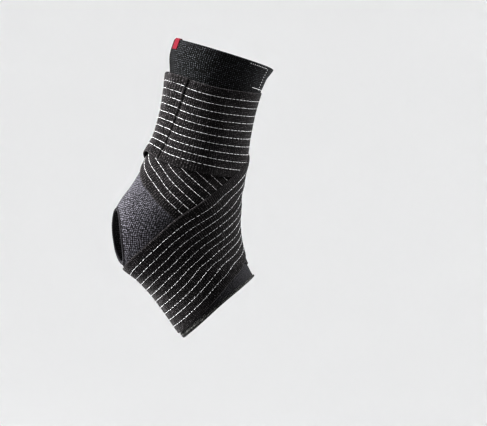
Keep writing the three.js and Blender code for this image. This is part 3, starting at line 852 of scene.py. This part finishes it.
@dataclass
class YarnRing:
    """Overlock yarn wrapped round an edge, as one oval ring with a leaning twist."""

    name: str
    node: str
    width: float = 3.2
    thickness: float = 2.6
    wall: float = 1.6
    pitch: float = 1.5
    depth: float = 0.16
    sides: int = 12
    per_wrap: int = 6
    opening: HeelOpening = field(default_factory=HeelOpening)

    def build(self) -> Object:
        """Make the ring and put it in place of its plain solid."""
        line = self.opening.edge()
        closed = np.concatenate([line, line[:1]])
        gone = distances(FORM.point(closed[:, 0], closed[:, 1]))
        wraps = round(gone[-1] / self.pitch)
        at = np.arange(wraps * self.per_wrap) / (wraps * self.per_wrap) * gone[-1]
        station, angle = (np.interp(at, gone, closed[:, k]) for k in (0, 1))
        middle = FORM.raised(station, angle, np.full(len(at), self.wall / 2))
        normal = FORM.frame_at(station, angle)[2]
        heading = unit(np.roll(middle, -1, axis=0) - np.roll(middle, 1, axis=0))
        side = unit(np.cross(normal, heading))
        turn = np.arange(self.sides) * 2 * np.pi / self.sides
        wrap = np.arange(len(at))[:, None] * 2 * np.pi / self.per_wrap + turn[None]
        swell = 1 - self.depth * (0.5 - 0.5 * np.cos(wrap))
        out = side[:, None] * (np.cos(turn)[None] * self.width / 2 * swell)[..., None]
        up = normal[:, None] * (np.sin(turn)[None] * self.thickness / 2 * swell)[..., None]
        across = np.broadcast_to(turn * self.width / 2, wrap.shape)
        down = np.broadcast_to(at[:, None], wrap.shape)
        round_end = np.full(len(at), np.pi * self.width)
        lattice = Lattice((middle[:, None] + out + up)[::-1], across, down, True, round_end, down[:, 0])
        return lattice.piece(self.name, self.node, Cloth.OVERLOCK)


@dataclass
class Stitches:
    """Short raised stitches of thread, joined as one mesh."""

    width: float = 0.42
    height: float = 0.24
    shares: tuple[float, ...] = (0.0, 0.22, 0.78, 1.0)
    fullness: tuple[float, ...] = (0.35, 1.0, 1.0, 0.35)
    section: tuple[Pair, ...] = ((-0.5, -0.2), (0.5, -0.2), (0.32, 0.85), (-0.32, 0.85))

    def build(self, name: str, starts: Array, ends: Array, normals: Array, cloth: Cloth) -> Object:
        """Make the stitches.

        Args:
            name: The piece's name.
            starts: Where each stitch comes up, in millimetres.
            ends: Where each goes down.
            normals: The way out of the cloth at each.
            cloth: The thread's finish.

        Returns:
            The joined piece.
        """
        heading = unit(ends - starts)
        aside = unit(np.cross(normals, heading))
        section = np.array(self.section)
        share, full = np.array(self.shares), np.array(self.fullness)
        middle = starts[:, None] + (ends - starts)[:, None] * share[None, :, None]
        wide = section[None, :, 0] * self.width * full[:, None]
        high = section[None, :, 1] * self.height * full[:, None]
        points = middle[:, :, None] + aside[:, None, None] * wide[None, ..., None]
        points = points + normals[:, None, None] * high[None, ..., None]
        rings, sides = len(share), len(section)
        quads = []
        for ring in range(rings - 1):
            for k in range(sides):
                a, b = ring * sides + k, ring * sides + (k + 1) % sides
                quads.append((a, b, b + sides, a + sides))
        quads.append((3, 2, 1, 0))
        last = (rings - 1) * sides
        quads.append((last, last + 1, last + 2, last + 3))
        one = np.array(quads)
        count = rings * sides
        faces = (one[None] + np.arange(len(starts))[:, None, None] * count).reshape(-1, 4)
        length = np.linalg.norm(ends - starts, axis=1)
        flat_across = np.broadcast_to(wide[None], (len(starts), rings, sides))
        flat_down = np.broadcast_to((length[:, None] * share[None])[..., None], flat_across.shape)
        flat = np.stack([flat_across, flat_down], -1).reshape(-1, 2)
        return make_piece(name, points.reshape(-1, 3), [faces], flat[faces.ravel()], cloth)


@dataclass
class Strap:
    """A striped elastic strap wound over the form and over what lies under it."""

    name: str
    node: str
    route: tuple[Pair, ...]
    laid_over: tuple["Strap", ...] = ()
    width: float = 75.0
    thickness: float = 1.2
    wall: float = 1.6
    layer_gap: float = 0.5
    plateau: float = 5.5
    slope: float = 20.0
    even_step: float = 6.4
    even_passes: int = 4
    own_turn: float = 150.0
    tab_thickness: float = 0.8
    tab_length: float = 25.6
    tab_inset: float = 12.8
    tab_slope: float = 14.0
    coarse_step: float = 3.2
    rib_pitch: float = 1.7
    rows_per_rib: int = 4
    end_taper: float = 9.0
    end_share: float = 0.12
    end_settle: float = 0.42
    edge_settle: float = 0.3
    edge_settle_width: float = 3.5
    bevel_share: float = 0.1
    bevel_width: float = 0.2
    rib_height: float = 0.16
    cells: int = 26
    stripe_count: int = 10
    stripe_pitch: float = 6.65
    stitch_pitch: float = 3.3
    stitch_length: float = 3.0
    stitch_margin: float = 0.6
    seed: int = 7
    # Distances in from the edge, and the share of the thickness that the webbing has there.
    rim: ClassVar[tuple[float, ...]] = (0.0, 0.35, 1.1, 2.2, 4.0)
    rim_share: ClassVar[tuple[float, ...]] = (0.45, 0.85, 1.06, 0.93, 1.0)

    def __post_init__(self) -> None:
        """Measure the route and keep its places at even steps."""
        route = np.array(self.route, float)
        fine = along(route, np.linspace(0, len(route) - 1, (len(route) - 1) * 48 + 1))
        points = FORM.point(fine[:, 0], fine[:, 1])
        self.fine_arc = distances(points)
        self.fine = fine
        self.length = float(self.fine_arc[-1])
        self.arc, self.places, self.points, self.heading = self.places_at(self.coarse_step)

    def places_at(self, step: float) -> tuple[Array, Array, Array, Array]:
        """Space places evenly along the centre line.

        Args:
            step: Wanted distance between them.

        Returns:
            Arc lengths, stations and angles, points, and headings.
        """
        arc = np.linspace(0, self.length, round(self.length / step) + 1)
        places = np.stack([np.interp(arc, self.fine_arc, self.fine[:, k]) for k in (0, 1)], -1)
        points = FORM.point(places[:, 0], places[:, 1])
        return arc, places, points, unit(np.gradient(points, axis=0))

    def tab_lift(self, arc: Array) -> Array:
        """Give the extra height over the hook tab near the free end."""
        start = self.length - self.tab_inset - self.tab_length - self.tab_slope
        down = smooth((self.length - arc) / self.tab_inset)
        return (self.tab_thickness + self.layer_gap) * smooth((arc - start) / self.tab_slope) * down

    def lift(self, points: Array, stretch: Array) -> Array:
        """Work out how much this strap raises what lies over it.

        Args:
            points: Points on the form.
            stretch: How much of this strap counts at each point, from its start.

        Returns:
            The rise at each point.
        """
        total = np.zeros(len(points))
        chunk = math.ceil(self.own_turn / self.coarse_step)
        for first in range(0, len(self.arc), chunk):
            part = slice(first, first + chunk + 1)
            distance = np.linalg.norm(points[:, None] - self.points[part][None], axis=2)
            distance[self.arc[part][None] > stretch[:, None]] = np.inf
            nearest = distance.argmin(1)
            best = distance[np.arange(len(points)), nearest]
            close = np.flatnonzero(best <= self.width)
            if not len(close):
                continue
            at = nearest[close] + first
            offset = points[close] - self.points[at]
            beyond = np.abs((offset * self.heading[at]).sum(1))
            aside = np.sqrt(np.maximum(best[close] ** 2 - beyond**2, 0))
            past = np.maximum(aside - self.width / 2, beyond - self.coarse_step)
            cover = 1 - smooth((past - self.plateau) / self.slope)
            some = cover > 0
            close, at, cover = close[some], at[some], cover[some]
            if len(close):
                top = self.base(points[close], self.arc[at]) + self.thickness - self.wall
                total[close] = np.maximum(total[close], cover * top)
        return total

    def base(self, points: Array, arc: Array) -> Array:
        """Work out the height of the strap's inner face over the form.

        Args:
            points: Points on the form under the strap.
            arc: How far along the strap each point is.

        Returns:
            The heights.
        """
        lift = self.lift(points, arc - self.own_turn)
        for under in self.laid_over:
            lift = np.maximum(lift, under.lift(points, np.full(len(points), np.inf)))
        return self.wall + self.layer_gap + lift + self.tab_lift(arc)

    def offsets(self) -> Array:
        """Give the distances of the strap's columns from its centre line."""
        half = self.width / 2
        rim = np.array(self.rim[:-1])
        inner = np.linspace(-half + rim[-1], half - rim[-1], self.cells + 1)[1:-1]
        return np.concatenate([-half + rim, inner, (half - rim)[::-1]])

    def spread(self, arc: Array, offsets: Array) -> Array:
        """Find the places across the strap, evened out along it as elastic evens out under tension.

        Args:
            arc: How far along the strap each row lies.
            offsets: The columns' distances from the centre line.

        Returns:
            Station and angle of each place, in rows and columns.
        """
        coarse, places, _, heading = self.places_at(self.even_step)
        normal = FORM.frame_at(places[:, 0], places[:, 1])[2]
        grid = FORM.fan(places[:, 0], places[:, 1], unit(np.cross(normal, heading)), offsets)
        for _ in range(self.even_passes):
            grid[1:-1] = (grid[:-2] + 2 * grid[1:-1] + grid[2:]) / 4
        rows = arc / coarse[-1] * (len(coarse) - 1)
        flat = grid.reshape(len(grid), -1)
        return along(flat, rows).reshape(len(arc), *grid.shape[1:])

    def surface(self) -> dict[str, Array]:
        """Work out both faces of the strap.

        Returns:
            Arc lengths, offsets, and the points and normals of the two faces.
        """
        arc = self.places_at(self.rib_pitch / self.rows_per_rib)[0]
        offsets = self.offsets()
        spread = self.spread(arc, offsets)
        station, angle = spread[..., 0], spread[..., 1]
        on_form = FORM.point(station, angle)
        arcs = np.broadcast_to(arc[:, None], station.shape)
        foot = self.base(on_form.reshape(-1, 3), arcs.ravel()).reshape(station.shape)
        normal = FORM.frame_at(station, angle)[2]
        in_from_edge = self.width / 2 - np.abs(offsets)
        full = np.interp(in_from_edge, self.rim, self.rim_share)
        near_end = 1 - smooth((self.length - arc) / self.end_taper)
        thin = (1 - (1 - self.end_share) * near_end)[:, None]
        near_edge = self.edge_settle * (1 - smooth(in_from_edge / self.edge_settle_width))
        settle = np.maximum(near_edge[None], self.end_settle * near_end[:, None])
        wave = 0.5 + 0.5 * np.cos(2 * np.pi * arc / self.rib_pitch)
        relief = self.rib_height * (wave - 1)[:, None] * smooth(in_from_edge)[None]
        bevel = self.bevel_share * self.thickness * (in_from_edge < self.bevel_width)[None]
        top = foot + (self.thickness * full[None] + relief) * thin - settle
        under = foot - settle + bevel * thin
        return {
            "arc": arc,
            "offsets": offsets,
            "top": on_form + normal * top[..., None],
            "under": on_form + normal * under[..., None],
            "normal": normal,
        }

    def place_on(self, face: dict[str, Array], arc: Array, offset: float) -> tuple[Array, Array]:
        """Find points of the top face.

        Args:
            face: The strap's faces.
            arc: Distances along the strap.
            offset: Distance from its centre line.

        Returns:
            The points and the ways out of the cloth.
        """
        column = np.interp(offset, face["offsets"], np.arange(len(face["offsets"])))
        row = np.interp(arc, face["arc"], np.arange(len(face["arc"])))
        i, j = np.minimum(row.astype(int), len(face["arc"]) - 2), min(int(column), len(face["offsets"]) - 2)
        f, g = (row - i)[:, None], column - j

        def blend(grid: Array) -> Array:
            """Mix the four nearest values of a grid."""
            near = grid[i, j] * (1 - g) + grid[i, j + 1] * g
            far = grid[i + 1, j] * (1 - g) + grid[i + 1, j + 1] * g
            return near * (1 - f) + far * f

        return blend(face["top"]), unit(blend(face["normal"]))

    def stitch_rows(self, face: dict[str, Array]) -> Object:
        """Sew the white stripes along the strap.

        Args:
            face: The strap's faces.

        Returns:
            The joined stitches.
        """
        random = np.random.default_rng(self.seed)
        starts, ends, normals = [], [], []
        for k in range(self.stripe_count):
            offset = (k - (self.stripe_count - 1) / 2) * self.stripe_pitch
            last = self.length - self.stitch_length
            begin = np.arange(random.uniform(0.2, 1.0), last, self.stitch_pitch)
            begin = np.append(begin + random.uniform(-0.2, 0.2, len(begin)), last - self.stitch_margin)
            long = self.stitch_length * random.uniform(0.85, 1.08, len(begin))
            start, way_out = self.place_on(face, begin, offset)
            end, _ = self.place_on(face, begin + long, offset)
            starts.append(start)
            ends.append(end)
            normals.append(way_out)
        return Stitches().build(
            self.name + "_stripe_stitches",
            np.concatenate(starts),
            np.concatenate(ends),
            np.concatenate(normals),
            Cloth.THREAD,
        )

    def tab(self, face: dict[str, Array], node: str) -> Object:
        """Make the hook tab under the free end.

        Args:
            face: The strap's faces.
            node: The plain solid that it stands for.

        Returns:
            The tab.
        """
        arc, offsets = face["arc"], face["offsets"]
        last = self.length - self.tab_inset
        rows = (arc <= last) & (arc >= last - self.tab_length)
        columns = np.abs(offsets) <= self.width / 2 - self.tab_inset
        under = face["under"][rows][:, columns]
        normal = face["normal"][rows][:, columns]
        step = self.layer_gap + self.tab_thickness
        top, low = under - normal * self.layer_gap, under - normal * step
        lattice = Lattice.two_faced(top, low, offsets[columns], arc[rows])
        return lattice.piece(self.name + "_hook_tape", node, Cloth.HOOK)

    def build(self, tab_node: str, rests_on: Sequence[str]) -> list[Object]:
        """Make the strap, its stripes and its hook tab.

        Args:
            tab_node: The plain solid of the hook tab.
            rests_on: Names of the pieces that it lies on. It is not used.

        Returns:
            The pieces.
        """
        face = self.surface()
        lattice = Lattice.two_faced(face["top"], face["under"], face["offsets"], face["arc"])
        webbing = lattice.piece(self.name + "_webbing", self.node, Cloth.ELASTIC)
        stripes = self.stitch_rows(face)
        tab = self.tab(face, tab_node)
        return [webbing, stripes, tab]


@dataclass
class Tag:
    """The red tape folded over the cuff's top edge."""

    name: str = "red_tape"
    node: str = "red_tag"
    width: float = 10.0
    drop: float = 9.0
    thickness: float = 0.6
    gap: float = 0.5
    cuff_wall: float = 1.9
    angle: float = 9.0
    columns: int = 12
    bends: int = 8
    top_share: float = 0.6

    def build(self) -> Object:
        """Make the tag and put it in place of its plain solid."""
        per_mm = 1 / FORM.mm_per_station(0.0, self.angle)
        ends = FORM.point(np.zeros(2), np.array([self.angle - 5, self.angle + 5]))
        per_degree = float(np.linalg.norm(ends[1] - ends[0])) / 10
        middle = self.cuff_wall / 2
        radius = middle + self.gap
        drops = np.linspace(self.drop, 0, self.bends)[:-1]
        turn = np.linspace(0, np.pi, self.bends + 1)
        flat_side = np.full(len(drops), radius)
        rise = np.concatenate([-drops, np.sin(turn) * radius * self.top_share, -drops[::-1]])
        out = np.concatenate([flat_side, np.cos(turn) * radius, -flat_side])
        path = np.stack([rise, out], -1)
        way = unit(np.gradient(path, axis=0))
        side = np.stack([-way[:, 1], way[:, 0]], -1) * -1
        angles = self.angle + np.linspace(-0.5, 0.5, self.columns) * self.width / per_degree
        layers = []
        for depth in (self.thickness, 0.0):
            line = path + side * depth
            station, angle = np.meshgrid(-line[:, 0] * per_mm, angles, indexing="ij")
            height = np.broadcast_to((line[:, 1] + middle)[:, None], station.shape)
            layers.append(FORM.raised(station, angle, height))
        gone = distances(path)
        lattice = Lattice.two_faced(layers[0], layers[1], np.linspace(0, self.width, self.columns), gone)
        piece = lattice.piece(self.name, self.node, Cloth.RED)
        return piece


@dataclass
class SeamThread:
    """White thread that shows as dots down the cuff's front seam, along its top corner and as a tack."""

    wall: float = 1.9
    dot_pitch: float = 2.3
    dot_length: float = 1.1
    first_dot: float = 0.3
    seam_angle: float = 144.0
    seam_end: float = 1.7
    corner_from: float = 112.0
    below_edge: float = 0.16
    tack_station: float = 1.62
    tack_from: float = 128.0
    tack_to: float = 160.0
    tack_pitch: float = 2.4
    samples: int = 200

    def lines(self) -> list[tuple[Array, Array, float, float]]:
        """Give each line's stations and angles, its stitch pitch and the length of a stitch."""
        down = np.linspace(self.below_edge, self.seam_end, self.samples)
        corner = np.linspace(self.corner_from, self.seam_angle, self.samples)
        tack = np.linspace(self.tack_from, self.tack_to, self.samples)
        return [
            (down, np.full_like(down, self.seam_angle), self.dot_pitch, self.dot_length),
            (np.full_like(corner, self.below_edge), corner, self.dot_pitch, self.dot_length),
            (np.full_like(tack, self.tack_station), tack, self.tack_pitch, self.tack_pitch),
        ]

    def build(self, cuff: Cuff) -> Object:
        """Sew the dots and the tack.

        Args:
            cuff: The cuff that they lie on.

        Returns:
            The joined stitches.
        """
        starts, ends, normals = [], [], []
        for station, angle, pitch, length in self.lines():
            points = FORM.raised(station, angle, self.wall + cuff.extra(station, angle))
            gone = distances(points)
            begin = np.arange(self.first_dot, gone[-1] - length, pitch)
            for grid, at in ((starts, begin), (ends, begin + length)):
                grid.append(np.stack([np.interp(at, gone, points[:, k]) for k in range(3)], -1))
            at_station, at_angle = np.interp(begin, gone, station), np.interp(begin, gone, angle)
            normals.append(FORM.frame_at(at_station, at_angle)[2])
        dots = Stitches(width=0.6, height=0.45)
        rows = [np.concatenate(parts) for parts in (starts, ends, normals)]
        return dots.build("cuff_seam_thread", *rows, Cloth.THREAD)


@dataclass
class Brace:
    """The whole brace: knit tubes, heel edge, straps and tag."""

    cuff_end: float = 3.0
    hem_start: float = 18.62
    seam_gap: float = 0.1
    sleeve_rows: int = 118
    sleeve_columns: int = 240
    rib_columns: int = 828
    rib_height: float = 0.2
    # Flat sizes of the knit, in metres: the tube's girth, its longest line down, and its area.
    girth: float = 0.235
    sleeve_length: float = 0.245
    sleeve_area: float = 0.046
    cuff_length: float = 0.044

    def report(self, piece: Object) -> Object:
        """Log a piece and hand it on."""
        log.info("%s: %d faces", piece.name, len(piece.data.polygons))
        return piece

    def build(self) -> None:
        """Make every piece, from the sleeve outwards."""
        cuff_end = self.cuff_end - self.seam_gap / FORM.mm_per_station(self.cuff_end)
        hem_start = self.hem_start + self.seam_gap / FORM.mm_per_station(self.hem_start)
        ribs = {"columns": self.rib_columns, "rib_height": self.rib_height}
        sleeve = Sleeve(
            "sleeve_mesh_knit",
            "knit_sleeve",
            Cloth.MESH,
            self.cuff_end,
            self.hem_start,
            wall=1.6,
            rows=self.sleeve_rows,
            inner_rows=self.sleeve_rows,
            columns=self.sleeve_columns,
        )
        cuff = Cuff(
            "cuff_rib_knit",
            "top_cuff",
            Cloth.RIB,
            0.0,
            cuff_end,
            wall=1.9,
            rows=26,
            inner_rows=10,
            edge=0.8,
            **ribs,
        )
        hem = KnitTube(
            "hem_double_knit",
            "foot_hem",
            Cloth.HEM,
            hem_start,
            LAST_STATION,
            wall=2.7,
            rows=10,
            inner_rows=5,
            edge=1.2,
            **ribs,
        )
        sleeve_piece, cuff_piece, hem_piece = (self.report(tube.build()) for tube in (sleeve, cuff, hem))
        ring = self.report(YarnRing("heel_overlock", "heel_binding").build())
        inner = Strap("inner_strap", "inner_strap", INNER_ROUTE, seed=11)
        outer = Strap("outer_strap", "outer_strap", OUTER_ROUTE, (inner,), seed=23)
        for strap, tab_node, under in (
            (inner, "inner_hook_tab", ["sleeve_mesh_knit", "cuff_rib_knit"]),
            (outer, "outer_hook_tab", ["sleeve_mesh_knit", "inner_strap_webbing"]),
        ):
            for piece in strap.build(tab_node, under):
                self.report(piece)
            log.info("%s: %.0f mm long", strap.name, strap.length)
        self.report(Tag().build())
        thread = self.report(SeamThread().build(cuff))


@dataclass
class Studio:
    """A seamless pale bowl, soft lights and the camera."""

    floor_drop: float = 0.5
    flat_radius: float = 1.6
    bend_radius: float = 1.6
    wall_height: float = 3.2
    floor_sides: int = 96
    floor_bends: int = 13
    floor_rings: Pair = (0.02, 0.8)
    paper: str = "#f1f1f1"
    paper_roughness: float = 0.95
    air: str = "#f4f5f7"
    air_strength: float = 0.42
    gamma: float = 0.76
    azimuth: float = -15.0
    elevation: float = 3.0
    roll: float = 12.6
    distance: float = 1.7
    right_of_axis: float = 45.15 * MM
    above_axis: float = -16.08 * MM
    frame_width: float = 487 * 0.86 * MM
    sensor: float = 36.0

    def floor(self) -> None:
        """Make the bowl of pale paper."""
        turn = np.linspace(0, np.pi / 2, self.floor_bends)
        radius = np.concatenate([self.floor_rings, self.flat_radius + self.bend_radius * np.sin(turn)])
        rise = np.concatenate([[0, 0], self.bend_radius * (1 - np.cos(turn))])
        radius = np.append(radius, radius[-1])
        rise = np.append(rise, self.wall_height) - self.floor_drop
        count = self.floor_sides
        angle = np.arange(count) * 2 * np.pi / count
        ring = np.stack([np.cos(angle), np.sin(angle)], -1)
        xy = radius[:, None, None] * ring[None]
        z = np.broadcast_to(rise[:, None, None], (*xy.shape[:2], 1))
        points = np.concatenate([xy, z], -1).reshape(-1, 3)
        faces = [tuple(range(count))]
        for i in range(len(radius) - 1):
            for j in range(count):
                k = (j + 1) % count
                faces.append((i * count + j, (i + 1) * count + j, (i + 1) * count + k, i * count + k))
        mesh = bpy.data.meshes.new("paper_floor")
        mesh.from_pydata(points.tolist(), [], faces)
        mesh.polygons.foreach_set("use_smooth", [True] * len(faces))
        paper = bpy.data.materials.new("pale_paper")
        paper.use_nodes = True
        shader = paper.node_tree.nodes["Principled BSDF"]
        shader.inputs["Base Color"].default_value = linear(self.paper)
        shader.inputs["Roughness"].default_value = self.paper_roughness
        mesh.materials.append(paper)
        bowl = bpy.data.objects.new("paper_floor", mesh)
        bpy.context.scene.collection.objects.link(bowl)

    def light(self, name: str, place: Triple, size: Pair, power: float, spread: float) -> None:
        """Add a soft light that looks at the brace.

        Args:
            name: The light's name.
            place: Where it stands, in metres.
            size: Its width and height.
            power: Its power in watts.
            spread: How wide its beam opens, in degrees.
        """
        data = bpy.data.lights.new(name, "AREA")
        data.shape = "RECTANGLE"
        data.size, data.size_y = size
        data.energy = power
        data.spread = math.radians(spread)
        lamp = bpy.data.objects.new(name, data)
        lamp.location = place
        lamp.rotation_euler = Vector(place).to_track_quat("Z", "Y").to_euler()
        lamp.visible_camera = False
        bpy.context.scene.collection.objects.link(lamp)

    def lights(self) -> None:
        """Add the key from the left, the rim from the right, and the light on the paper."""
        self.light("key_softbox", (-1.4, 0.12, 0.5), (0.5, 1.0), 26.0, 50)
        self.light("rim_softbox", (1.0, 0.05, 1.0), (0.4, 0.8), 9.0, 50)
        self.light("top_softbox", (0.0, 0.2, 2.6), (2.6, 2.6), 61.0, 180)
        world = bpy.data.worlds.new("studio_air")
        world.use_nodes = True
        world.node_tree.nodes["Background"].inputs[0].default_value = linear(self.air)
        world.node_tree.nodes["Background"].inputs[1].default_value = self.air_strength
        bpy.context.scene.world = world

    def camera(self) -> None:
        """Place the camera at the photograph's viewing angle."""
        a, e, r = (math.radians(v) for v in (self.azimuth, self.elevation, self.roll))
        right = Vector((math.cos(a), math.sin(a), 0))
        back = Vector((math.sin(a) * math.cos(e), -math.cos(a) * math.cos(e), math.sin(e)))
        up = back.cross(right)
        right, up = right * math.cos(r) + up * math.sin(r), up * math.cos(r) - right * math.sin(r)
        data = bpy.data.cameras.new("photo_camera")
        data.sensor_width = self.sensor
        data.lens = self.sensor * self.distance / self.frame_width
        camera = bpy.data.objects.new("photo_camera", data)
        place = right * self.right_of_axis + up * self.above_axis + back * self.distance
        turned = Matrix((right, up, back)).transposed().to_4x4()
        camera.matrix_world = Matrix.Translation(place) @ turned
        bpy.context.scene.collection.objects.link(camera)
        bpy.context.scene.camera = camera

    def build(self) -> None:
        """Set the whole studio."""
        self.floor()
        self.lights()
        self.camera()
        view = bpy.context.scene.view_settings
        view.view_transform = "Standard"
        view.look = "None"
        view.gamma = self.gamma


def main() -> None:
    """Build the studio and the brace, and report each piece."""
    logging.basicConfig(level=logging.INFO, format="%(name)s: %(message)s")
    Studio().build()
    Brace().build()


if __name__ == "__main__":
    main()
